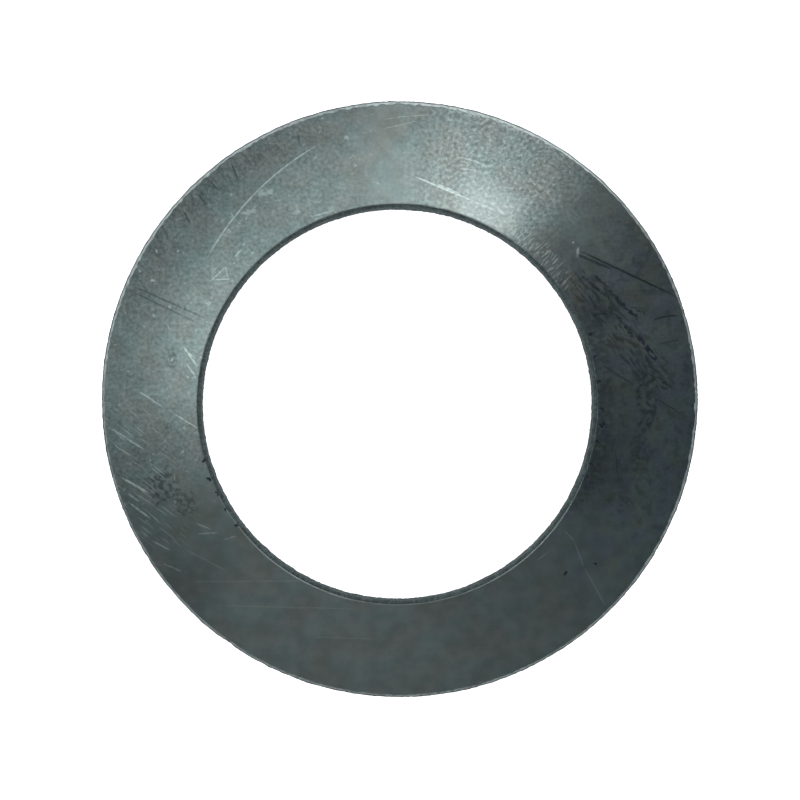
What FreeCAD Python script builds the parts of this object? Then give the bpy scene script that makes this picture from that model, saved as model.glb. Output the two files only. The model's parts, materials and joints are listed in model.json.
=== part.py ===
import FreeCAD, Part

import math
import os

# Driving dimensions, in millimetres. The washer is stamped from 10 gauge steel strip and lies
# flat: its lower face is at z = 0, and the axis of its bore is the Z axis.
BORE_DIAMETER = 38.1
RIM_DIAMETER = 57.15
THICKNESS = 3.4

# The piercing and blanking stations of the die stood slightly out of line, so the axis of the
# rim passes through this point and not through the bore's own centre.
RIM_AXIS_X = 0.25
RIM_AXIS_Y = 0.49

# A sheared wall has four zones. The corner where the tool went in is rolled over. The land
# beside it is burnished at the true diameter. The rest is torn and leans away from the land,
# and the corner where the metal parted is rounded by tumbling.
LAND_END = 1.6
TORN_LEAN = 0.08

# The radii of the two corners of each wall. The die that cuts the rim is worn and the piercing
# punch is still sharp, and tumbling reaches the rim better than the bore.
RIM_ROLL = 0.3
RIM_CORNER = 0.2
BORE_ROLL = 0.12
BORE_CORNER = 0.08

FULL_TURN = 360
UP = FreeCAD.Vector(0, 0, 1)


def sheared_wall(roll, corner, place):
    """The section of one sheared wall, as edges from its rolled face to its torn face.

    place(depth, height) gives the point that lies depth inside the land's diameter, measured
    into the metal, and height above the rolled face.
    """
    roll_middle = roll * (1 - math.sqrt(0.5))
    corner_middle = corner * (1 - math.sqrt(0.5))
    torn_end = THICKNESS - corner
    rolled_corner = Part.Arc(
        place(roll, 0),
        place(roll_middle, roll_middle),
        place(0, roll),
    )
    straight = [place(0, roll), place(0, LAND_END), place(TORN_LEAN, torn_end)]
    rounded_corner = Part.Arc(
        place(TORN_LEAN, torn_end),
        place(TORN_LEAN + corner_middle, THICKNESS - corner_middle),
        place(TORN_LEAN + corner, THICKNESS),
    )
    return [rolled_corner.toShape()] + Part.makePolygon(straight).Edges + [rounded_corner.toShape()]


def turned_about(axis_point, wall):
    """The solid swept round an upright axis by the area between the axis and a wall."""
    wall_ends = Part.Wire(Part.__sortEdges__(wall)).OrderedVertexes
    first = wall_ends[0].Point
    last = wall_ends[-1].Point
    on_axis_first = FreeCAD.Vector(axis_point.x, axis_point.y, first.z)
    on_axis_last = FreeCAD.Vector(axis_point.x, axis_point.y, last.z)
    closing = Part.makePolygon([last, on_axis_last, on_axis_first, first]).Edges
    section = Part.Face(Part.Wire(Part.__sortEdges__(wall + closing)))
    return section.revolve(axis_point, UP, FULL_TURN)


def blank():
    """The disc that the outer tool cuts out: rolled below, torn above."""
    axis_point = FreeCAD.Vector(RIM_AXIS_X, RIM_AXIS_Y, 0)
    radius = RIM_DIAMETER / 2

    def place(depth, height):
        return axis_point + FreeCAD.Vector(radius - depth, 0, height)

    return turned_about(axis_point, sheared_wall(RIM_ROLL, RIM_CORNER, place))


def pierced_slug():
    """The space that the piercing punch leaves: rolled above, torn below."""
    axis_point = FreeCAD.Vector(0, 0, 0)
    radius = BORE_DIAMETER / 2

    def place(depth, height):
        return FreeCAD.Vector(radius + depth, 0, THICKNESS - height)

    return turned_about(axis_point, sheared_wall(BORE_ROLL, BORE_CORNER, place))


def washer():
    """The ring that is left of the blank once it is pierced."""
    return blank().cut(pierced_slug())


def write_step(name, shape):
    shape.exportStep(os.path.join("parts", name + ".step"))
    print(f"{name}: {len(shape.Solids)} solid, {shape.Volume:.1f} mm3, valid {shape.isValid()}")


os.makedirs("parts", exist_ok=True)
write_step("washer", washer())
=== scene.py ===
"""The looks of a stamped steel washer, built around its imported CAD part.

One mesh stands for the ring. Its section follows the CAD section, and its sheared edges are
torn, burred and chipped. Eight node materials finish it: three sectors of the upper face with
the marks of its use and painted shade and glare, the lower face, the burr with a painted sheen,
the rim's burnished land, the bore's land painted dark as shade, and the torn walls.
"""

import json
import math

import bpy
import numpy as np
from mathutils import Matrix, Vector


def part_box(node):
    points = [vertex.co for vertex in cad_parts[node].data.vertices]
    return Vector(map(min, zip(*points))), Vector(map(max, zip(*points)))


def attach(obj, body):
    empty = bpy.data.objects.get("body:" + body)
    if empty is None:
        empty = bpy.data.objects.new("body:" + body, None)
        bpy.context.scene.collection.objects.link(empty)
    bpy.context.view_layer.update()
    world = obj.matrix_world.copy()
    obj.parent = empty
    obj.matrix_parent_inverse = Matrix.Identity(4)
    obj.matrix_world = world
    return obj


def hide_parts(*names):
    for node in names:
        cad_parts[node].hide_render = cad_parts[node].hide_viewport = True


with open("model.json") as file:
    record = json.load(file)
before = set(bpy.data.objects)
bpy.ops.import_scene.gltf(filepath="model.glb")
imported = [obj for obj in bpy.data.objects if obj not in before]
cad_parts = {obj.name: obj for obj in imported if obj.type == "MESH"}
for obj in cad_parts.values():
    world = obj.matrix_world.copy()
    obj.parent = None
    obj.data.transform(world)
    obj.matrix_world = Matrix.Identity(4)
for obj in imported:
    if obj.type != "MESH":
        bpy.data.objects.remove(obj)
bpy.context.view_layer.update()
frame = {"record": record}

# ---------------------------------------------------------------------------------------------
# Sizes, in metres. The large ones come from the frame.

MM = 0.001
LOW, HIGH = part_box("washer")
MOUNTS = {mount["name"]: mount for mount in frame["record"]["mounts"]}
BORE_RADIUS = MOUNTS["bore"]["dims"]["r_mm"] * MM
RIM_RADIUS = MOUNTS["rim"]["dims"]["r_mm"] * MM
RIM_CENTRE = np.array(MOUNTS["rim"]["pos_m"][:2])
THICKNESS = HIGH.z - LOW.z

# The zones of a sheared wall, as the CAD has them.
LAND_END = 1.6 * MM
TORN_LEAN = 0.08 * MM
RIM_ROLL = 0.3 * MM
RIM_CORNER = 0.2 * MM
BORE_ROLL = 0.12 * MM
BORE_CORNER = 0.08 * MM

# How many rows of points each zone has.
ROLL_ROWS = 5
RIM_TORN_ROWS = 8
RIM_CORNER_ROWS = 6
BORE_TORN_ROWS = 7
BORE_CORNER_ROWS = 3

# How rough the shearing left the walls: the land ends in waves, and the metal tore in crumbs,
# which keep a share of their depth on the rounded corner. The corner itself is ragged too.
LAND_WAVE = 0.12 * MM
LAND_WAVE_LENGTH = 2.5 * MM
CRUMB_DEPTH = 0.03 * MM
CRUMB_LENGTH = 0.35 * MM
CORNER_CRUMBS = 0.4
RAGGED_DEPTH = 0.012 * MM
RAGGED_LENGTH = 1.2 * MM

# The burr is a strip of crumbs on the upper face along the rim. The first of its rows is the
# last one of the rim's corner. Tumbling left none of the crumbs higher than BURR_TOP.
BURR_ROWS = 5
BURR_WIDTH = 0.17 * MM
BURR_HEIGHT = 0.02 * MM
BURR_TOP = 0.03 * MM
BURR_LENGTH = 0.3 * MM

# Chips out of the rim's upper corner: the angle in degrees, the half width at half depth, and
# the depth. They lean inward by a share of their depth, and are shallower across the burr.
CHIPS = [
    (234.8, 0.55 * MM, 0.17 * MM),
    (211.9, 0.30 * MM, 0.10 * MM),
    (209.3, 0.20 * MM, 0.07 * MM),
    (296.0, 0.25 * MM, 0.08 * MM),
]
CHIP_LEAN = 0.4
CHIPS_IN_BURR = 0.7

# The upper face has three materials, one for each sector, because its marks are too many for
# one. They differ only in the marks they hold. A sector runs from one angle to the other, in
# degrees.
SECTORS = {
    "upper_face_right": (310, 75),
    "upper_face_top": (75, 177),
    "upper_face_left": (177, 310),
}

# Where the rows of a flat face lie, as shares of the way between its edges.
FACE_SHARES = (0.004, 0.33, 0.67, 0.996)

# How many points each circle has, and the source of every random draw.
STEPS_ROUND = 1920
RANDOM = np.random.default_rng(7)


# ---------------------------------------------------------------------------------------------
# Angles and noise round the ring.


def is_between(angle, limits):
    """Whether an angle lies between two others, in degrees."""
    first, last = limits
    return (angle - first) % 360 < (last - first) % 360


def turns():
    """The angle of each step round the ring, in radians."""
    return np.linspace(0, 2 * math.pi, STEPS_ROUND, endpoint=False)


def near_angle(middle, half_width):
    """1 at the middle angle, falling to 0 at half_width from it, in degrees."""
    apart = (np.degrees(turns()) - middle + 180) % 360 - 180
    share = np.clip(1 - np.abs(apart) / half_width, 0, 1)
    return share * share * (3 - 2 * share)


def noise_sheet(row_count, row_gap, radius, length):
    """Smooth noise on a strip of rows, closed round the ring, with a deviation of 1.

    The rows are row_gap apart, and the noise's features are about as long as length.
    """
    white = RANDOM.standard_normal((row_count, STEPS_ROUND))
    along = np.arange(STEPS_ROUND // 2 + 1) / (2 * math.pi * radius)
    across = np.fft.fftfreq(row_count, row_gap)
    reach = np.hypot(across[:, None], along[None, :]) * length
    sheet = np.fft.irfft2(np.fft.rfft2(white) * np.exp(-reach**2), white.shape)
    sheet -= sheet.mean()
    return sheet / sheet.std()


def noise_ring(radius, length):
    """Smooth noise round one circle."""
    return noise_sheet(1, length, radius, length)[0]


# ---------------------------------------------------------------------------------------------
# The ring's skin: a closed list of rows. A row is one circle of points, which holds how far
# each point lies into the metal from its wall's true radius and how high it lies.


class Row:
    """One circle of the skin, and the finish of the band between it and the next row."""

    def __init__(self, finish, wall, depth, height):
        self.finish = finish
        self.wall = wall
        self.depth = np.zeros(STEPS_ROUND) + depth
        self.height = np.zeros(STEPS_ROUND) + height


def arc_rows(finish, wall, roll):
    """The rows of a rolled corner of this radius, from the face to the wall."""
    rows = []
    for turn in np.linspace(0, math.pi / 2, ROLL_ROWS):
        rows.append(Row(finish, wall, roll * (1 - math.sin(turn)), roll * (1 - math.cos(turn))))
    return rows


def torn_rows(wall, radius, corner, count):
    """The rows of the torn wall, from the land's wavy end to the corner."""
    torn_end = THICKNESS - corner
    gap = (torn_end - LAND_END) / count
    crumbs = noise_sheet(count, gap, radius, CRUMB_LENGTH)
    wave = LAND_WAVE * noise_ring(radius, LAND_WAVE_LENGTH)
    rows = []
    for index, share in enumerate(np.linspace(0, 1, count + 1)[:-1]):
        roughness = CRUMB_DEPTH * min(1, 2 * share) * crumbs[index]
        depth = np.maximum(0, TORN_LEAN * share + roughness)
        height = LAND_END + share * (torn_end - LAND_END) + wave * (1 - share)
        rows.append(Row("torn_wall", wall, depth, height))
    return rows


def corner_rows(wall, radius, corner, count):
    """The rows of the rounded and ragged corner at the torn end."""
    ragged = RAGGED_DEPTH * noise_ring(radius, RAGGED_LENGTH)
    crumbs = noise_sheet(count, corner / count, radius, CRUMB_LENGTH)
    rows = []
    for index, turn in enumerate(np.linspace(0, math.pi / 2, count)):
        roughness = CORNER_CRUMBS * CRUMB_DEPTH * crumbs[index] * math.cos(turn)
        depth = np.maximum(0, TORN_LEAN + corner * (1 - math.cos(turn)) + ragged + roughness)
        rows.append(Row("torn_wall", wall, depth, THICKNESS - corner * (1 - math.sin(turn))))
    return rows


def sheared_wall(wall, land_finish, radius, roll, corner, torn_count, corner_count):
    """The rows of one wall. Their heights are measured from the wall's rolled face."""
    rows = arc_rows(land_finish, wall, roll)
    rows.append(Row(land_finish, wall, 0.0, (roll + LAND_END) / 2))
    rows += torn_rows(wall, radius, corner, torn_count)
    return rows + corner_rows(wall, radius, corner, corner_count)


def chips():
    """How deep the rim's upper corner is chipped at each step."""
    dent = np.zeros(STEPS_ROUND)
    for angle, half_width, depth in CHIPS:
        dent += depth * near_angle(angle, math.degrees(2 * half_width / RIM_RADIUS))
    return dent


def chip(row, dent, share):
    """Knock this share of the chips' depth out of a row of the rim."""
    row.height -= dent * share
    row.depth += CHIP_LEAN * dent * share


def burr_strength():
    """How strong the burr is at each step: most along the back, where +Y is, and least in front."""
    along_back = np.maximum(near_angle(120, 80), near_angle(75, 30))
    return 0.4 + 0.6 * along_back + 0.3 * near_angle(10, 70)


def burr_rows():
    """The strip of crumbs that the burr leaves on the upper face."""
    strength = burr_strength()
    unevenness = np.clip(1 + 0.3 * noise_ring(RIM_RADIUS, BURR_LENGTH * 2), 0.3, 1.6)
    width = BURR_WIDTH * strength * unevenness
    crumbs = noise_sheet(BURR_ROWS, BURR_WIDTH / BURR_ROWS, RIM_RADIUS, BURR_LENGTH)
    rows = []
    for index, share in enumerate(np.linspace(0, 1, BURR_ROWS)[1:]):
        crumb = BURR_HEIGHT * strength * crumbs[index] * (1 - share)
        depth = TORN_LEAN + RIM_CORNER + share * width
        row = Row("burr", "rim", depth, THICKNESS + np.minimum(crumb, BURR_TOP))
        chip(row, chips(), CHIPS_IN_BURR * (1 - share))
        rows.append(row)
    rows[-1].finish = "upper_face"
    return rows


def row_points(row):
    """The points of one row, in the frame."""
    angle = turns()
    heading = np.stack([np.cos(angle), np.sin(angle)], axis=1)
    points = np.zeros((STEPS_ROUND, 3))
    if row.wall == "rim":
        points[:, :2] = RIM_CENTRE + heading * (RIM_RADIUS - row.depth)[:, None]
    else:
        points[:, :2] = heading * (BORE_RADIUS + row.depth)[:, None]
    points[:, 2] = row.height
    return points


def face_between(finish, first, last):
    """The rows of a flat face between two circles of points, as (finish, points) pairs.

    One lies close beside each edge, so that the edge's shading doesn't spread over the face.
    """
    return [(finish, first + (last - first) * share) for share in FACE_SHARES]


def rim_rows():
    """The rows of the rim, from the lower face to the inner edge of the burr."""
    rows = sheared_wall(
        "rim", "rim_land", RIM_RADIUS, RIM_ROLL, RIM_CORNER, RIM_TORN_ROWS, RIM_CORNER_ROWS
    )
    for row in rows[-RIM_CORNER_ROWS:]:
        chip(row, chips(), 1.0)
    for row in rows[-2:]:
        row.finish = "burr"
    return rows + burr_rows()


def bore_rows():
    """The rows of the bore, from the upper face to the lower face, which it was sheared towards."""
    rows = sheared_wall(
        "bore", "bore_land", BORE_RADIUS, BORE_ROLL, BORE_CORNER, BORE_TORN_ROWS, BORE_CORNER_ROWS
    )
    for row in rows[:2]:
        row.finish = "upper_face"
    rows[-1].finish = "lower_face"
    for row in rows:
        row.height = THICKNESS - row.height
    return rows


def ring_skin():
    """Every row of the ring, in order: up the rim, over the top, down the bore, out below.

    Each is a (finish, points) pair.
    """
    skin = [(row.finish, row_points(row)) for row in rim_rows()]
    bore_skin = [(row.finish, row_points(row)) for row in bore_rows()]
    lower_skin = face_between("lower_face", bore_skin[-1][1], skin[0][1])
    skin += face_between("upper_face", skin[-1][1], bore_skin[0][1])
    return skin + bore_skin + lower_skin


def finish_names(finish):
    """The name of the material at each step round a band of this finish."""
    names = [finish] * STEPS_ROUND
    if finish == "upper_face":
        for index in range(STEPS_ROUND):
            angle = index * 360 / STEPS_ROUND
            names[index] = next(name for name, limits in SECTORS.items() if is_between(angle, limits))
    return names


def ring_mesh(materials):
    """The ring as one closed mesh of four-sided faces, with its materials."""
    band_finishes, circles = zip(*ring_skin())
    points = np.concatenate(circles)
    finishes = list(materials)
    step = np.arange(STEPS_ROUND)
    next_step = (step + 1) % STEPS_ROUND
    faces = []
    slots = []
    for index, finish in enumerate(band_finishes):
        here = index * STEPS_ROUND
        there = (index + 1) % len(circles) * STEPS_ROUND
        band = np.stack([here + step, here + next_step, there + next_step, there + step], axis=1)
        faces += band.tolist()
        slots += [finishes.index(name) for name in finish_names(finish)]
    mesh = bpy.data.meshes.new("steel_ring")
    mesh.from_pydata(points.tolist(), [], faces)
    for finish in finishes:
        mesh.materials.append(materials[finish])
    mesh.polygons.foreach_set("material_index", slots)
    mesh.polygons.foreach_set("use_smooth", [True] * len(faces))
    mesh.update()
    return mesh


# ---------------------------------------------------------------------------------------------
# Materials. Places on the faces are (angle, radius) about the rim's axis, in degrees and
# millimetres, and the textures' lengths are in millimetres too.

# The noise node's values seldom leave 0.5 by more than this.
NOISE_REACH = 0.25

# How far out a point of a stroke lies is measured by the length of its squared coordinates,
# which is 1 at the stroke's edge. Up to this value the stroke is at full strength.
STROKE_CORE = 0.35

# The outputs of these operations on vectors are numbers.
NUMBER_OPERATIONS = ("LENGTH", "DISTANCE", "DOT_PRODUCT")


class Graph:
    """A material's node tree. Most calls add a node or more and return the last one's output."""

    def __init__(self, name):
        self.material = bpy.data.materials.new(name)
        self.material.use_nodes = True
        self.nodes = self.material.node_tree.nodes
        self.links = self.material.node_tree.links
        self.shader = self.nodes["Principled BSDF"]

    def feed(self, socket, value):
        """Link a socket to a node's output, or set it to a plain value."""
        if isinstance(value, bpy.types.NodeSocket):
            self.links.new(value, socket)
        else:
            socket.default_value = value

    def finish(self, **values):
        """Set or link the shader's inputs, named with _ for each space."""
        for name, value in values.items():
            self.feed(self.shader.inputs[name.replace("_", " ")], value)
        return self.material

    def math(self, operation, first, second=0.0):
        node = self.nodes.new("ShaderNodeMath")
        node.operation = operation
        self.feed(node.inputs[0], first)
        self.feed(node.inputs[1], second)
        return node.outputs[0]

    def vector(self, operation, first, second=(0, 0, 0)):
        node = self.nodes.new("ShaderNodeVectorMath")
        node.operation = operation
        self.feed(node.inputs[0], first)
        if operation == "SCALE":
            self.feed(node.inputs["Scale"], second)
        else:
            self.feed(node.inputs[1], second)
        return node.outputs["Value" if operation in NUMBER_OPERATIONS else "Vector"]

    def span(self, value, low, high, at_low=0.0, at_high=1.0):
        """at_low where value is low, at_high where it is high, and a smooth step between."""
        node = self.nodes.new("ShaderNodeMapRange")
        node.interpolation_type = "SMOOTHSTEP"
        self.feed(node.inputs["Value"], value)
        self.feed(node.inputs["From Min"], low)
        self.feed(node.inputs["From Max"], high)
        self.feed(node.inputs["To Min"], at_low)
        self.feed(node.inputs["To Max"], at_high)
        return node.outputs["Result"]

    def mapped(self, place, middle, angle, size):
        """place as seen from a frame at middle, turned by angle radians, in units of size."""
        node = self.nodes.new("ShaderNodeMapping")
        node.vector_type = "TEXTURE"
        self.feed(node.inputs["Vector"], place)
        self.feed(node.inputs["Location"], (middle[0], middle[1], 0))
        self.feed(node.inputs["Rotation"], (0, 0, angle))
        self.feed(node.inputs["Scale"], size)
        return node.outputs["Vector"]

    def noise(self, place, size, detail=2.0, colour=False):
        """Noise from about 0.3 to 0.7 whose features are about as long as size."""
        node = self.nodes.new("ShaderNodeTexNoise")
        self.feed(node.inputs["Vector"], place)
        self.feed(node.inputs["Scale"], 1 / size)
        self.feed(node.inputs["Detail"], detail)
        return node.outputs["Color" if colour else "Fac"]

    def patches(self, place, size, detail, low, high, at_low=0.0, at_high=1.0):
        """Patches of noise: at_low where the noise is below low, at_high where it is above high."""
        return self.span(self.noise(place, size, detail), low, high, at_low, at_high)

    def mix(self, share, first, second):
        """The first colour, turned into the second one by this share."""
        node = self.nodes.new("ShaderNodeMix")
        node.data_type = "RGBA"
        self.feed(node.inputs["Factor"], share)
        self.feed(node.inputs["A"], first)
        self.feed(node.inputs["B"], second)
        return node.outputs["Result"]

    def product(self, *factors):
        result = factors[0]
        for factor in factors[1:]:
            result = self.math("MULTIPLY", result, factor)
        return result

    def total(self, *terms):
        result = terms[0]
        for term in terms[1:]:
            result = self.math("ADD", result, term)
        return result

    def strongest(self, *shares):
        result = shares[0]
        for share in shares[1:]:
            result = self.math("MAXIMUM", result, share)
        return result

    def inverse(self, share):
        return self.math("SUBTRACT", 1.0, share)

    def bump(self, height):
        """The normal of a surface with this height, in millimetres."""
        node = self.nodes.new("ShaderNodeBump")
        self.feed(node.inputs["Distance"], MM)
        self.feed(node.inputs["Height"], height)
        return node.outputs["Normal"]

    def body_place(self):
        """The place in the ring, in millimetres from the rim's axis at the lower face."""
        coordinates = self.nodes.new("ShaderNodeTexCoord").outputs["Object"]
        centre = (RIM_CENTRE[0], RIM_CENTRE[1], 0)
        return self.vector("SCALE", self.vector("SUBTRACT", coordinates, centre), 1 / MM)

    def face_place(self):
        """The place on a face, in millimetres from the rim's axis, with no height."""
        return self.vector("MULTIPLY", self.body_place(), (1, 1, 0))

    def shaken(self, place, length, reach):
        """place moved at random by up to reach, so that a straight mark comes out uneven."""
        shake = self.vector("SUBTRACT", self.noise(place, length, colour=True), (0.5, 0.5, 0.5))
        scale = reach / NOISE_REACH
        return self.vector("ADD", place, self.vector("MULTIPLY", shake, (scale, scale, 0)))

    def stroke(self, place, start, end, width, strength=1.0, bend=0.0):
        """strength on a mark from start to end with soft edges and round ends, and 0 beside it.

        bend is how far the mark bows out to its left, in millimetres.
        """
        first = polar(*start)
        run = polar(*end) - first
        size = (run.length / 2, width / 2, 1)
        local = self.mapped(place, first + run / 2, math.atan2(run.y, run.x), size)
        if bend:
            split = self.nodes.new("ShaderNodeSeparateXYZ")
            self.feed(split.inputs[0], local)
            square = self.math("MULTIPLY", split.outputs["X"], split.outputs["X"])
            bow = self.math("MULTIPLY", self.inverse(square), bend / (width / 2))
            joined = self.nodes.new("ShaderNodeCombineXYZ")
            self.feed(joined.inputs["X"], split.outputs["X"])
            self.feed(joined.inputs["Y"], self.math("SUBTRACT", split.outputs["Y"], bow))
            local = joined.outputs[0]
        squares = self.vector("MULTIPLY", local, local)
        return self.span(self.vector("LENGTH", squares), 1.0, STROKE_CORE, 0.0, strength)

    def strokes(self, place, marks):
        """The strongest of a list of strokes, and 0 for an empty list."""
        return self.strongest(0.0, *[self.stroke(place, *mark) for mark in marks])

    def spot(self, place, centre, width):
        """1 in the middle of a round spot, falling to 0 at its edge."""
        middle = polar(*centre)
        apart = self.vector("DISTANCE", place, (middle.x, middle.y, 0))
        return self.span(apart, width / 2, width / 5)

    def spots(self, place, marks):
        """The strongest of a list of spots, and 0 for an empty list."""
        return self.strongest(0.0, *[self.spot(place, *mark) for mark in marks])

    def sector(self, place, middle, full, fade):
        """1 within full degrees of the middle angle, and 0 from fade degrees on."""
        heading = polar(middle, 1)
        outward = self.vector("NORMALIZE", place)
        facing = self.vector("DOT_PRODUCT", outward, (heading.x, heading.y, 0))
        return self.span(facing, math.cos(math.radians(fade)), math.cos(math.radians(full)))

    def band(self, place, inner, outer, fade):
        """1 between two radii, and 0 from fade beyond them."""
        radius = self.vector("LENGTH", place)
        above = self.span(radius, inner - fade, inner)
        return self.math("MULTIPLY", above, self.span(radius, outer + fade, outer))

    def streaks(self, place, direction, length, width, low, high):
        """Random thin streaks that run in this direction, in degrees.

        They are 0 where the noise is below low and 1 where it is above high. Each direction has
        its own stretch of the noise.
        """
        own_stretch = (3 * direction, 7)
        local = self.mapped(place, own_stretch, math.radians(direction), (length, width, 1))
        return self.patches(local, 1.0, 1.0, low, high)


def polar(angle, radius):
    """The point at this angle, in degrees, and radius about the rim's axis."""
    turn = math.radians(angle)
    return Vector((radius * math.cos(turn), radius * math.sin(turn)))


# The upper face's marks: start, end, width and strength, then the bend of a curved one.

# Metal torn up by something hard that was dragged over the face.
TORN_MARKS = [
    ((34.4, 20.9), (29.8, 21.6), 0.29, 0.8),
    ((30.5, 21.4), (25.5, 22.3), 0.37, 0.9),
    ((33.2, 21.9), (27.5, 22.7), 0.31, 0.8),
    ((28.0, 22.5), (24.0, 23.0), 0.34, 0.8),
    ((25.5, 22.7), (21.5, 23.4), 0.47, 1.0),
    ((22.6, 23.1), (18.3, 24.1), 0.42, 1.0),
    ((22.8, 23.4), (18.5, 25.1), 0.29, 0.7),
    ((22.0, 22.1), (18.0, 22.6), 0.34, 0.8),
    ((18.6, 22.5), (14.5, 23.1), 0.39, 0.9),
    ((16.0, 23.3), (12.0, 24.1), 0.47, 0.9),
    ((12.8, 23.9), (8.2, 24.9), 0.68, 1.0),
    ((5.5, 24.5), (2.0, 26.2), 0.42, 0.9),
    ((3.0, 24.9), (1.5, 25.9), 0.34, 0.8),
    ((23.6, 19.9), (22.4, 21.5), 0.26, 0.7),
    ((15.0, 20.2), (12.5, 22.0), 0.38, 0.6),
]

# Long thin dark scores.
DARK_SCORES = [
    ((41.0, 22.0), (19.3, 28.7), 0.25, 1.00),
    ((40.0, 21.7), (31.0, 23.9), 0.32, 0.85),
    ((17.3, 25.2), (16.6, 27.9), 0.26, 0.85, 0.15),
    ((12.0, 24.9), (12.0, 27.5), 0.22, 0.45),
    ((10.5, 19.2), (3.0, 22.7), 0.22, 0.65),
    ((2.8, 22.8), (355.9, 27.9), 0.20, 0.52),
    ((347.5, 21.0), (339.0, 22.4), 0.18, 0.45),
    ((157.0, 28.6), (157.5, 19.4), 0.22, 0.60),
    ((158.0, 28.5), (159.5, 20.0), 0.22, 0.50),
]

# Short dark ticks inward from the rim, where it was held in a toothed jaw.
RIM_TICKS = [
    ((106.0, 27.3), (106.0, 26.4), 0.20, 0.5),
    ((111.0, 27.2), (111.5, 26.1), 0.22, 0.6),
    ((114.5, 26.9), (114.5, 26.1), 0.20, 0.5),
    ((125.5, 27.7), (126.5, 25.9), 0.24, 0.8),
    ((131.0, 27.7), (131.0, 26.3), 0.22, 0.7),
    ((134.5, 27.5), (135.0, 26.0), 0.24, 0.8),
    ((139.0, 27.4), (140.0, 26.1), 0.22, 0.8),
]

# Bright scratches, which are fresh metal.
BRIGHT_SCRATCHES = [
    ((87.5, 21.5), (60.0, 20.3), 0.20, 1.0),
    ((66.5, 20.8), (59.5, 20.2), 0.30, 0.9),
    ((80.5, 20.9), (73.5, 20.4), 0.22, 0.9),
    ((77.5, 23.7), (68.5, 23.6), 0.16, 0.6, 0.25),
    ((75.5, 22.7), (70.5, 23.0), 0.16, 0.5, 0.10),
    ((94.0, 26.7), (83.0, 27.3), 0.14, 0.3, 0.15),
    ((94.0, 25.8), (86.0, 26.7), 0.14, 0.3),
    ((81.0, 27.1), (78.5, 27.1), 0.30, 0.5),
    ((105.0, 25.8), (146.0, 22.7), 0.18, 0.7, -1.35),
    ((148.5, 21.3), (142.5, 20.9), 0.16, 0.6),
    ((148.0, 21.4), (144.5, 19.8), 0.16, 0.6),
    ((142.5, 21.0), (145.0, 20.0), 0.16, 0.5),
    ((139.5, 20.8), (136.5, 20.8), 0.18, 0.6),
    ((116.5, 19.4), (108.5, 19.1), 0.18, 0.5),
    ((166.0, 21.4), (171.0, 19.5), 0.20, 0.9),
    ((167.5, 20.7), (169.0, 19.8), 0.16, 0.6),
    ((170.5, 20.7), (174.0, 19.5), 0.16, 0.7),
    ((183.5, 21.7), (188.5, 19.4), 0.18, 0.6),
    ((178.0, 25.1), (182.0, 22.6), 0.18, 0.6),
    ((185.5, 27.9), (191.5, 24.7), 0.20, 0.6),
    ((189.0, 27.7), (192.0, 26.2), 0.18, 0.5),
    ((195.5, 27.7), (201.0, 25.4), 0.24, 0.9),
    ((199.0, 27.5), (201.5, 26.7), 0.18, 0.6),
    ((200.5, 27.8), (206.0, 26.3), 0.20, 0.7),
    ((209.5, 27.3), (213.5, 26.2), 0.18, 0.5),
    ((214.5, 27.6), (218.5, 26.5), 0.18, 0.4),
    ((215.0, 25.0), (225.5, 23.2), 0.14, 0.25),
    ((211.0, 22.9), (215.0, 21.8), 0.16, 0.4),
    ((213.5, 23.3), (216.5, 21.4), 0.16, 0.4),
    ((218.5, 21.6), (220.0, 20.3), 0.16, 0.4),
    ((220.0, 27.1), (246.0, 19.0), 0.14, 0.20),
    ((227.0, 26.9), (261.0, 20.3), 0.14, 0.20),
    ((249.0, 24.3), (265.0, 23.0), 0.14, 0.18),
    ((309.5, 20.2), (315.5, 20.4), 0.16, 0.30),
    ((40.5, 22.4), (38.5, 21.7), 0.30, 0.6),
    ((42.3, 22.3), (41.9, 22.3), 0.25, 0.6),
]

# Broad light smears.
SMEARS = [
    ((125.0, 23.9), (120.5, 23.2), 0.7, 0.5),
    ((131.0, 23.3), (126.5, 22.7), 0.6, 0.5),
    ((137.5, 23.1), (134.5, 22.7), 0.5, 0.4),
    ((119.5, 20.5), (118.0, 20.5), 0.9, 0.4),
]

# The light edge that a film of oil left where it dried.
TIDE_LINE = [
    ((321.5, 20.0), (320.8, 21.6), 0.16, 0.35),
    ((321.0, 21.4), (317.5, 23.9), 0.16, 0.35),
    ((317.7, 23.7), (314.8, 28.0), 0.16, 0.30),
]

# Soft dark stains.
STAINS = [
    ((202.0, 23.4), (202.8, 22.8), 0.8, 0.6),
    ((10.0, 23.8), (351.0, 24.0), 2.6, 0.75),
    ((353.0, 23.0), (341.0, 24.3), 2.2, 0.5),
    ((340.0, 23.0), (332.0, 24.0), 1.6, 0.4),
    ((167.6, 22.6), (172.6, 21.7), 1.3, 0.6),
    ((28.0, 21.0), (18.0, 21.5), 2.0, 0.4),
    ((195.5, 24.3), (205.0, 24.0), 3.6, 0.70),
    ((203.0, 22.6), (209.0, 23.0), 2.6, 0.60),
    ((186.0, 22.2), (189.5, 22.4), 1.2, 0.45),
]

# Black specks along the bore's edge, and two out on the face, each with its width.
BLACK_SPECKS = [
    ((19.0, 19.3), 0.6), ((12.5, 19.1), 0.5), ((5.0, 19.1), 0.6), ((357.0, 19.4), 0.5),
    ((353.0, 19.5), 0.6), ((348.0, 19.3), 0.5), ((341.0, 19.4), 0.5), ((197.5, 19.6), 0.5),
    ((203.0, 19.8), 0.6), ((207.0, 19.5), 0.5), ((212.5, 19.6), 0.5), ((217.5, 19.7), 0.5),
    ((313.5, 22.9), 0.4), ((320.0, 24.3), 0.4),
]
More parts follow.
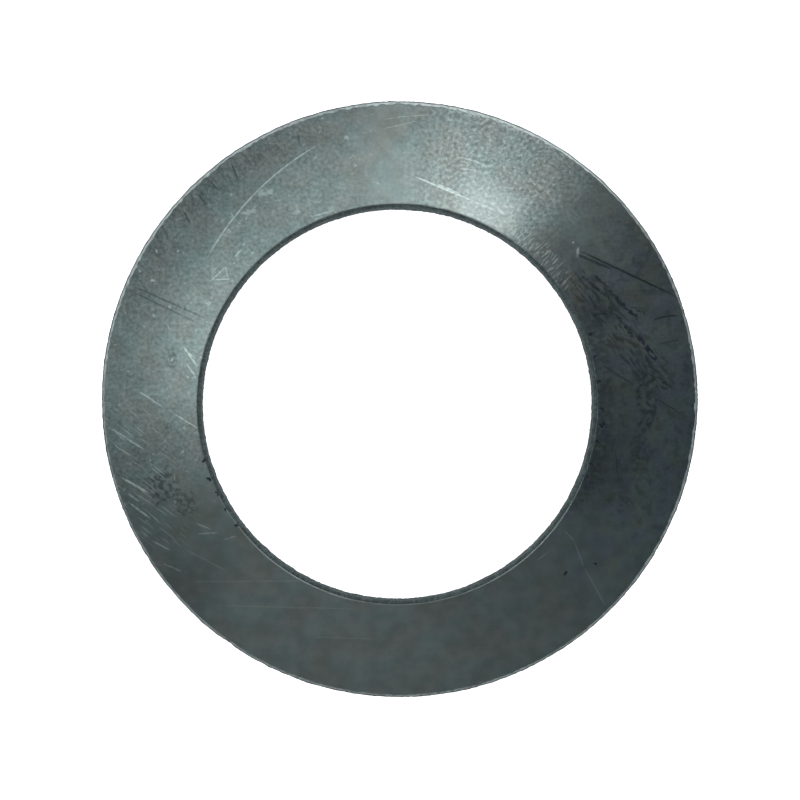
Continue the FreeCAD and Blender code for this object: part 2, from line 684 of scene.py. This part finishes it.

# The steel's colours: bare, under a film of oil, freshly scratched and torn. The fresh colour also
# paints the glare and glints of the key light.
WARM_STEEL = (0.259, 0.270, 0.256, 1)
GREEN_STEEL = (0.240, 0.278, 0.274, 1)
BLUE_STEEL = (0.236, 0.262, 0.292, 1)
FRESH_STEEL_AND_PAINTED_GLARE = (0.95, 1.0, 0.97, 1)
TORN_STEEL = (0.030, 0.038, 0.052, 1)

# The faces' roughness. A denoised picture of a much smoother face loses its fine grain.
FACE_ROUGHNESS = (0.275, 0.287)

# How much of the steel's tone the dark marks take away, and how much the tarnish and painted shade do.
DARK_MARKS_DEPTH = 0.62
TARNISH_AND_PAINTED_SHADE_DEPTH = 0.68

# The lower face reads the noise this far from where the upper face does.
LOWER_FACE_SHIFT = (71, 13, 0)

# Burnished walls have fine lines up them, from noise that is squeezed along Z. They are this
# high, in millimetres.
LINE_SQUEEZE = (1, 1, 0.06)
LINE_HEIGHT = 0.012


def plain_steel(graph, place, oily, grit):
    """The tone, colour, roughness and height of a cold-rolled face without its marks.

    oily is where a film of oil colours it, and grit is how rough the rolls left it.
    """
    broad = graph.patches(place, 6.0, 3.0, 0.3, 0.7, 0.94, 1.06)
    patchy = graph.patches(place, 1.5, 4.0, 0.3, 0.7, 0.92, 1.08)
    grain = graph.product(graph.math("SUBTRACT", graph.noise(place, 0.34, 3.0), 0.5), grit)
    tone = graph.product(broad, patchy, graph.math("ADD", 1.0, grain))
    film = graph.product(graph.patches(place, 2.2, 3.0, 0.42, 0.58), oily)
    bare = graph.mix(graph.patches(place, 3.1, 2.0, 0.35, 0.65), WARM_STEEL, GREEN_STEEL)
    colour = graph.mix(film, bare, BLUE_STEEL)
    roughness = graph.patches(place, 0.9, 3.0, 0.3, 0.7, *FACE_ROUGHNESS)
    ripple = graph.product(graph.noise(place, 3.0, 1.0), 0.006)
    pitting = graph.product(graph.noise(place, 0.24, 1.0), graph.span(grit, 0.5, 1.0, 0.0, 0.004))
    return tone, colour, roughness, graph.total(ripple, pitting)


class UpperFace(Graph):
    """The graph of the upper face in one sector.

    It holds the place on the face, and the same place shaken by little (uneven), by more
    (frayed) and by much (crumbled), where its marks are drawn. patchy is what breaks up the
    broad ones.
    """

    def __init__(self, name):
        super().__init__(name)
        self.limits = SECTORS[name]
        self.place = self.face_place()
        self.uneven = self.shaken(self.place, 0.5, 0.028)
        self.frayed = self.shaken(self.place, 0.35, 0.12)
        self.crumbled = self.shaken(self.place, 0.45, 0.22)
        self.patchy = self.patches(self.place, 0.5, 4.0, 0.28, 0.56)

    def drawn(self, place, marks):
        """The strokes of those marks that start or end in this sector."""
        held = [mark for mark in marks if any(is_between(end[0], self.limits) for end in mark[:2])]
        return self.strokes(place, held)

    def region(self, sector, band=None):
        """1 in a sector, given as (middle, full, fade), and in a band, (inner, outer, fade)."""
        share = self.sector(self.place, *sector)
        if band:
            share = self.product(share, self.band(self.place, *band))
        return share

    def grit(self):
        """How rough the rolls and the wear left each part of the face."""
        return self.total(
            0.14,
            self.product(self.region((68, 10, 26)), 1.8),
            self.product(self.region((150, 38, 62)), 1.2),
            self.product(self.region((10, 25, 45)), 0.45),
        )

    def small_light_marks_and_painted_glare(self):
        """Random families of light marks, and a painted glare where the key light's reflection falls.

        A family is the product of a texture, the region that it keeps to and its strength.
        """
        slants = self.product(
            self.streaks(self.uneven, direction=-38, length=2.4, width=0.16, low=0.60, high=0.70),
            self.region((198, 10, 20), (25.0, 29.0, 4.0)),
            0.22,
        )
        hairlines = self.product(
            self.streaks(self.uneven, direction=3, length=9.0, width=0.10, low=0.56, high=0.72),
            0.02,
        )
        nicks = self.product(
            self.streaks(self.uneven, direction=45, length=0.9, width=0.16, low=0.52, high=0.68),
            self.region((46, 8, 17), (18.0, 19.9, 0.9)),
            0.22,
        )
        # Painted glints: grainy sparkle painted over the spot where the key light reflects.
        glints = self.product(
            self.patches(self.place, 0.35, 2.0, 0.52, 0.68),
            self.region((66, 6, 20)),
            0.22,
        )
        flecks = self.product(
            self.patches(self.crumbled, 0.6, 3.0, 0.64, 0.72),
            self.region((150, 45, 65)),
            0.30,
        )
        # Burr crumbs near the rim, painted bright as glints where the key light reflects on them.
        crumbs = self.product(
            self.patches(self.uneven, 0.35, 3.0, 0.46, 0.60),
            self.region((68, 8, 16), (28.0, 29.0, 0.6)),
            0.38,
        )
        # Painted glare: a brighter spot painted where the key light's reflection falls.
        glare = self.product(self.region((65, 3, 11), (18.0, 20.5, 3.0)), 0.22)
        return self.total(self.strongest(slants, hairlines, nicks, glints, flecks, crumbs), glare)

    def small_dark_marks(self):
        """Random families: shreds beside the torn metal, blotches, a jaw's smudges and soot."""
        shreds = self.product(
            self.streaks(self.uneven, direction=-52, length=1.3, width=0.34, low=0.46, high=0.62),
            self.stroke(self.place, (40.0, 20.6), (0.0, 26.2), 4.2, 0.75),
        )
        blotches = self.product(
            self.patches(self.crumbled, 0.9, 4.0, 0.50, 0.66),
            self.region((3, 24, 46)),
            0.42,
        )
        smudges = self.product(
            self.streaks(self.crumbled, direction=-58, length=1.8, width=0.32, low=0.46, high=0.62),
            self.region((134, 18, 32), (26.8, 29.0, 1.8)),
            0.42,
        )
        soot = self.product(
            self.patches(self.crumbled, 0.5, 3.0, 0.36, 0.58),
            self.region((357, 22, 36), (19.0, 20.1, 0.8)),
            0.55,
        )
        return self.strongest(shreds, blotches, smudges, soot)

    def light_marks(self):
        """The scratches, smears and tide line of the lists above, and the small light marks with their
        painted glints and glare.
        """
        broken = self.patches(self.place, 0.4, 3.0, 0.36, 0.56, 0.45, 1.0)
        scratches = self.product(self.drawn(self.uneven, BRIGHT_SCRATCHES), broken, 0.55)
        smears = self.product(self.drawn(self.crumbled, SMEARS), self.patchy, 0.42)
        tide = self.product(self.drawn(self.uneven, TIDE_LINE), 0.5)
        return self.strongest(scratches, smears, tide, self.small_light_marks_and_painted_glare())

    def dark_marks(self):
        """The ticks, scores and stains of the lists above, and the small dark marks."""
        ticks = self.drawn(self.uneven, RIM_TICKS)
        scores = self.drawn(self.uneven, DARK_SCORES)
        stains = self.product(
            self.drawn(self.crumbled, STAINS),
            self.patches(self.place, 0.5, 4.0, 0.42, 0.60),
        )
        return self.strongest(ticks, scores, stains, self.small_dark_marks())

    def torn_metal(self):
        """The torn marks and the black specks."""
        specks = [speck for speck in BLACK_SPECKS if is_between(speck[0][0], self.limits)]
        return self.strongest(
            self.product(self.drawn(self.frayed, TORN_MARKS), self.patchy),
            self.spots(self.crumbled, specks),
        )

    def tarnish_and_painted_shade(self):
        """Painted shade and tarnish: sectors of the face are painted darker where the lights'
        reflections fall off.
        """
        return self.total(
            self.product(self.region((12, 24, 46)), 0.26),
            self.product(self.region((36, 9, 20)), 0.28),
            self.product(self.region((12, 36, 56), (18.0, 21.0, 3.5)), 0.20),
            self.product(self.region((205, 12, 28)), 0.30),
            self.product(self.region((142, 26, 46), (25.5, 29.0, 4.0)), 0.22),
        )


def upper_face(name):
    """The part of the upper face in one sector."""
    face = UpperFace(name)
    oily = face.region((358, 32, 52))
    tone, colour, roughness, height = plain_steel(face, face.place, oily, face.grit())
    light = face.light_marks()
    torn = face.torn_metal()
    shade = face.product(
        tone,
        face.inverse(face.product(face.dark_marks(), DARK_MARKS_DEPTH)),
        # Painted shade and tarnish darken the steel's tone here.
        face.inverse(face.product(face.tarnish_and_painted_shade(), TARNISH_AND_PAINTED_SHADE_DEPTH)),
    )
    # Light marks whiten the steel: fresh scratches, and the painted glare and glints.
    colour = face.mix(light, face.vector("SCALE", colour, shade), FRESH_STEEL_AND_PAINTED_GLARE)
    colour = face.mix(torn, colour, TORN_STEEL)
    roughness = face.total(roughness, face.product(light, 0.08), face.product(torn, 0.2))
    return face.finish(Base_Color=colour, Metallic=1.0, Roughness=roughness, Normal=face.bump(height))


def lower_face():
    """The side that the washer lies on: plain steel with faint scratches and soft stains."""
    graph = Graph("lower_face")
    place = graph.vector("ADD", graph.face_place(), LOWER_FACE_SHIFT)
    uneven = graph.shaken(place, 0.5, 0.05)
    tone, colour, roughness, height = plain_steel(graph, place, oily=0.3, grit=0.3)
    light = graph.strongest(
        graph.streaks(uneven, direction=22, length=11.0, width=0.12, low=0.62, high=0.76),
        graph.streaks(uneven, direction=71, length=7.0, width=0.12, low=0.67, high=0.78),
    )
    stains = graph.patches(place, 2.4, 4.0, 0.56, 0.68)
    shade = graph.product(tone, graph.inverse(graph.product(stains, 0.35)))
    colour = graph.mix(graph.product(light, 0.22), graph.vector("SCALE", colour, shade), FRESH_STEEL_AND_PAINTED_GLARE)
    roughness = graph.total(roughness, graph.product(light, 0.05), graph.product(stains, 0.06))
    return graph.finish(Base_Color=colour, Metallic=1.0, Roughness=roughness, Normal=graph.bump(height))


def burr():
    """Crumbs of metal pushed up along the rim, painted brighter at the back, where the lights reflect
    in them.
    """
    graph = Graph("burr")
    place = graph.body_place()
    # Painted sheen: the crumbs are painted brighter in the sectors where the lights reflect.
    painted_sheen = graph.total(
        graph.product(graph.sector(place, 72, 12, 34), 0.5),
        graph.product(graph.sector(place, 110, 60, 80), 0.35),
    )
    crumbs = graph.patches(place, 0.45, 2.0, 0.36, 0.62, 0.65, 1.0)
    tone = graph.product(crumbs, graph.total(painted_sheen, 0.6))
    colour = graph.vector("SCALE", (0.70, 0.76, 0.75), tone)
    return graph.finish(Base_Color=colour, Metallic=0.4, Roughness=0.5)


def drawn_lines(graph, place, size, detail):
    """Fine lines up a wall, which the tool drew along it."""
    return graph.noise(graph.vector("MULTIPLY", place, LINE_SQUEEZE), size, detail)


def rim_land():
    """Burnished by the die, with fine lines up the wall."""
    graph = Graph("rim_land")
    place = graph.body_place()
    lines = drawn_lines(graph, place, 0.16, 2.0)
    streaky = graph.span(lines, 0.3, 0.7, 0.75, 1.2)
    patchy = graph.patches(place, 1.2, 3.0, 0.3, 0.7, 0.8, 1.15)
    colour = graph.vector("SCALE", GREEN_STEEL[:3], graph.product(streaky, patchy))
    roughness = graph.patches(place, 0.5, 3.0, 0.3, 0.7, 0.26, 0.42)
    normal = graph.bump(graph.product(lines, LINE_HEIGHT))
    return graph.finish(Base_Color=colour, Metallic=1.0, Roughness=roughness, Normal=normal)


def bore_land():
    """Burnished by the punch, with fine lines down the wall. Its near-black colour paints the shade
    down the bore.
    """
    graph = Graph("bore_land")
    place = graph.body_place()
    lines = drawn_lines(graph, place, 0.22, 3.0)
    streaky = graph.span(lines, 0.35, 0.65, 0.6, 1.5)
    patchy = graph.patches(place, 1.5, 3.0, 0.3, 0.7, 0.7, 1.3)
    # The near-black colour is painted shade inside the bore.
    colour = graph.vector("SCALE", (0.026, 0.041, 0.041), graph.product(streaky, patchy))
    normal = graph.bump(graph.product(lines, LINE_HEIGHT))
    return graph.finish(
        Base_Color=colour, Metallic=0.0, Specular_IOR_Level=0.05, Roughness=0.75, Normal=normal
    )


def torn_wall():
    """Crumbled dark metal with small brighter facets."""
    graph = Graph("torn_wall")
    place = graph.body_place()
    crumbs = graph.noise(place, 0.3, 3.0)
    tone = graph.span(crumbs, 0.3, 0.7, 0.5, 1.6)
    facets = graph.patches(place, 0.23, 1.0, 0.62, 0.7)
    crumbled = graph.vector("SCALE", (0.044, 0.062, 0.064), tone)
    colour = graph.mix(facets, crumbled, (0.17, 0.21, 0.21, 1))
    normal = graph.bump(graph.product(crumbs, 0.05))
    return graph.finish(
        Base_Color=colour, Metallic=0.0, Specular_IOR_Level=0.15, Roughness=0.85, Normal=normal
    )


def ring():
    """The washer, in place of its CAD node."""
    materials = {name: upper_face(name) for name in SECTORS}
    for maker in (lower_face, burr, rim_land, bore_land, torn_wall):
        materials[maker.__name__] = maker()
    mesh = ring_mesh(materials)
    piece = bpy.data.objects.new("steel_ring", mesh)
    bpy.context.scene.collection.objects.link(piece)
    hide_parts("washer")
    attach(piece, "root")


# ---------------------------------------------------------------------------------------------
# The studio.

# The floor glows, so that it comes out white.
FLOOR_HALF_SIDE = 3.0
FLOOR_GAP = 0.01 * MM
FLOOR_COLOUR = (0.9, 0.9, 0.9, 1)
FLOOR_GLOW = 1.0

# The camera hangs at this height above the upper face, a little aside from the rim's centre.
# The rim, just below its rounded corner, takes up RIM_SHARE of the frame. The sensor is in
# millimetres.
CAMERA_HEIGHT = 105 * MM
CAMERA_ASIDE = (0.02 * MM, -0.08 * MM)
RIM_SHARE = 0.7447
SENSOR = 36.0

# The overhead lights hang at this height above the washer. Each is placed by the spot of the
# upper face where the camera sees its reflection: the spot's angle in degrees, how far it is
# from the rim's axis and its own radius, in millimetres, then the light's power in watts and
# its colour.
LIGHT_HEIGHT = 0.5
NEUTRAL = (0.91, 1.0, 1.0)
COOL = (0.6, 1.0, 1.1)
OVERHEAD = {
    "key": (72, 18, 1, 0.070, NEUTRAL),
    "key_outer": (75, 24, 3, 0.019, NEUTRAL),
    "left": (167, 17, 1, 0.047, NEUTRAL),
    "left_inner": (166, 12, 4, 0.025, NEUTRAL),
    "left_outer": (181, 42, 7, 0.021, COOL),
    "upper": (112, 25, 4, 0.017, NEUTRAL),
    "upper_left": (136, 18, 3, 0.012, COOL),
    "lower_left": (242, 27, 5, 0.0075, NEUTRAL),
    "lower": (268, 26, 5, 0.0080, NEUTRAL),
    "lower_right": (296, 27, 5, 0.0050, NEUTRAL),
    "right": (330, 32, 5, 0.0030, COOL),
    "far_right": (0, 32, 7, 0.003, COOL),
}

# Four square panels stand round the washer: the azimuth in degrees and the power in watts.
PANEL_SIDE = 0.4
PANEL_DISTANCE = 0.65
PANEL_ELEVATION = 38
PANELS = {
    "panel_right": (45, 0.75),
    "panel_back": (135, 0.6),
    "panel_left": (225, 0.55),
    "panel_front": (315, 0.45),
}

# The world round the studio: its colours, and the heights, as the sine of the elevation, where
# its walls begin to darken and where its dark ceiling begins.
WALL_COLOUR = (0.62, 0.66, 0.68, 1)
CEILING_COLOUR = (0.031, 0.044, 0.049, 1)
WALL_TOP = 0.25
CEILING_EDGE = 0.75


def floor():
    """A white square just under the washer."""
    side = FLOOR_HALF_SIDE
    corners = [(-side, -side), (side, -side), (side, side), (-side, side)]
    mesh = bpy.data.meshes.new("floor")
    mesh.from_pydata([(x, y, -FLOOR_GAP) for x, y in corners], [], [(0, 1, 2, 3)])
    material = Graph("white_floor").finish(
        Base_Color=FLOOR_COLOUR,
        Roughness=0.9,
        Specular_IOR_Level=0.0,
        Emission_Color=(1, 1, 1, 1),
        Emission_Strength=FLOOR_GLOW,
    )
    mesh.materials.append(material)
    piece = bpy.data.objects.new("floor", mesh)
    bpy.context.scene.collection.objects.link(piece)


def camera():
    """Looks straight down from above the rim's centre."""
    data = bpy.data.cameras.new("camera")
    data.sensor_width = SENSOR
    data.clip_start = MM
    edge_radius = RIM_RADIUS - TORN_LEAN
    data.lens = SENSOR / 2 * RIM_SHARE * (CAMERA_HEIGHT + RIM_CORNER) / edge_radius
    piece = bpy.data.objects.new("camera", data)
    x, y = RIM_CENTRE + CAMERA_ASIDE
    piece.location = (x, y, THICKNESS + CAMERA_HEIGHT)
    bpy.context.scene.collection.objects.link(piece)
    bpy.context.scene.camera = piece


def area_light(name, shape, size, power, colour, place):
    """A soft light that faces the washer and that the camera doesn't see."""
    data = bpy.data.lights.new(name, "AREA")
    data.shape = shape
    data.size = size
    data.energy = power
    data.color = colour
    light = bpy.data.objects.new(name, data)
    light.location = place
    light.rotation_mode = "QUATERNION"
    light.rotation_quaternion = (-place).to_track_quat("-Z", "Y")
    light.visible_camera = False
    bpy.context.scene.collection.objects.link(light)


def overhead_lights():
    """Discs of light, each where its reflection falls on its own spot of the upper face."""
    # The face mirrors what is this many times farther out than the spot where it is seen.
    spread = 1 + LIGHT_HEIGHT / CAMERA_HEIGHT
    for name, (angle, out, spot_radius, power, colour) in OVERHEAD.items():
        aside = polar(angle, out * MM) * spread
        place = Vector((RIM_CENTRE[0] + aside.x, RIM_CENTRE[1] + aside.y, THICKNESS + LIGHT_HEIGHT))
        area_light(name, "DISK", 2 * spot_radius * MM * spread, power, colour, place)


def side_panels():
    """Square panels of light round the washer, all at one elevation."""
    rise = math.radians(PANEL_ELEVATION)
    for name, (azimuth, power) in PANELS.items():
        aside = polar(azimuth, PANEL_DISTANCE * math.cos(rise))
        place = Vector((aside.x, aside.y, PANEL_DISTANCE * math.sin(rise)))
        area_light(name, "SQUARE", PANEL_SIDE, power, (1, 1, 1), place)


def studio_world():
    """A dark ceiling above pale walls."""
    world = bpy.data.worlds.new("studio")
    world.use_nodes = True
    nodes = world.node_tree.nodes
    links = world.node_tree.links
    split = nodes.new("ShaderNodeSeparateXYZ")
    links.new(nodes.new("ShaderNodeTexCoord").outputs["Generated"], split.inputs[0])
    rise = nodes.new("ShaderNodeMapRange")
    rise.interpolation_type = "SMOOTHSTEP"
    rise.inputs["From Min"].default_value = WALL_TOP
    rise.inputs["From Max"].default_value = CEILING_EDGE
    links.new(split.outputs["Z"], rise.inputs["Value"])
    mix = nodes.new("ShaderNodeMix")
    mix.data_type = "RGBA"
    mix.inputs["A"].default_value = WALL_COLOUR
    mix.inputs["B"].default_value = CEILING_COLOUR
    links.new(rise.outputs["Result"], mix.inputs["Factor"])
    links.new(mix.outputs["Result"], nodes["Background"].inputs["Color"])
    bpy.context.scene.world = world
    bpy.context.scene.view_settings.view_transform = "Standard"


ring()
floor()
camera()
overhead_lights()
side_panels()
studio_world()
